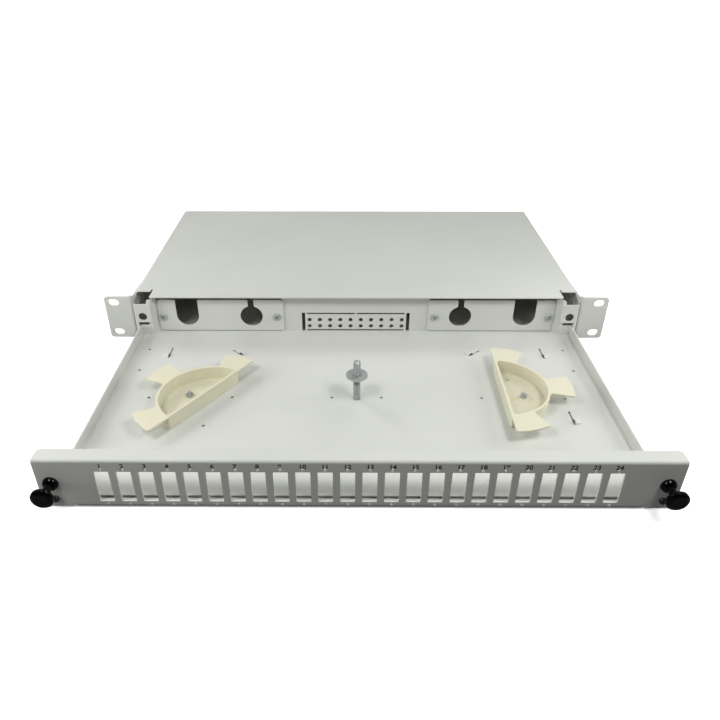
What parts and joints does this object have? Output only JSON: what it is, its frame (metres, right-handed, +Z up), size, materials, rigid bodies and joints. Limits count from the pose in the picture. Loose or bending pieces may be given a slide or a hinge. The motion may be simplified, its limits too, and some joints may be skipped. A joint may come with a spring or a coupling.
{
  "type": "sliding fibre optic patch panel",
  "caption": "One-unit 19-inch sliding fibre optic patch panel: sleeve with rack ears, open drawer with a row of connector cut-outs, bend guides and cable entries.",
  "frame": {"origin": "middle of the four rack slots, on the back faces of the rack ears", "axes": "X runs across the rack, Y from the front to the back of the sleeve, Z up"},
  "size_m": [0.4826, 0.4872, 0.044],
  "materials": {
    "powder_coat": "fine powder coat, satin",
    "zinc_plate": "zinc plated, slightly blue",
    "dark_screw": "black oxide",
    "latch_nylon": "moulded, glossy",
    "guide_plastic": "moulded, satin"
  },
  "bodies": {
    "housing": {"top_cover": "powder_coat", "base_plate": "powder_coat", "base_screws": "zinc_plate", "rack_ear_left": "powder_coat", "rack_ear_right": "powder_coat", "ear_screws_left": "zinc_plate", "ear_screws_right": "zinc_plate"},
    "drawer": {"drawer_tray": "powder_coat", "front_panel": "powder_coat", "panel_screws": "dark_screw", "cable_plate_left": "powder_coat", "cable_plate_right": "powder_coat", "cable_plate_screws_left": "zinc_plate", "cable_plate_screws_right": "zinc_plate", "guide_stud_left": "zinc_plate", "guide_stud_right": "zinc_plate", "guide_nut_left": "zinc_plate", "guide_nut_right": "zinc_plate", "cassette_stud": "zinc_plate", "latch_grommet_left": "latch_nylon", "latch_grommet_right": "latch_nylon"},
    "bend_guide_left": {"bend_guide_left": "guide_plastic"},
    "bend_guide_right": {"bend_guide_right": "guide_plastic"},
    "cassette_clamp": {"cassette_nut": "zinc_plate", "cassette_washer": "zinc_plate"},
    "latch_plunger_left": {"latch_plunger_left": "latch_nylon"},
    "latch_plunger_right": {"latch_plunger_right": "latch_nylon"}
  },
  "joints": [
    {"name": "drawer_slide", "type": "slide", "parent": "housing", "child": "drawer", "axis": [0, 1, 0], "range_m": [0, 0.2178]},
    {"name": "guide_turn_left", "type": "hinge", "parent": "drawer", "child": "bend_guide_left", "pos_m": [-0.1413, -0.108, -0.0193], "axis": [0, 0, 1], "continuous": true},
    {"name": "guide_turn_right", "type": "hinge", "parent": "drawer", "child": "bend_guide_right", "pos_m": [0.1413, -0.108, -0.0193], "axis": [0, 0, 1], "continuous": true},
    {"name": "clamp_slide", "type": "slide", "parent": "drawer", "child": "cassette_clamp", "axis": [0, 0, 1], "range_m": [-0.019, 0.012]},
    {"name": "latch_push_left", "type": "slide", "parent": "drawer", "child": "latch_plunger_left", "axis": [0, 1, 0], "range_m": [0, 0.0085]},
    {"name": "latch_push_right", "type": "slide", "parent": "drawer", "child": "latch_plunger_right", "axis": [0, 1, 0], "range_m": [0, 0.0085]}
  ]
}
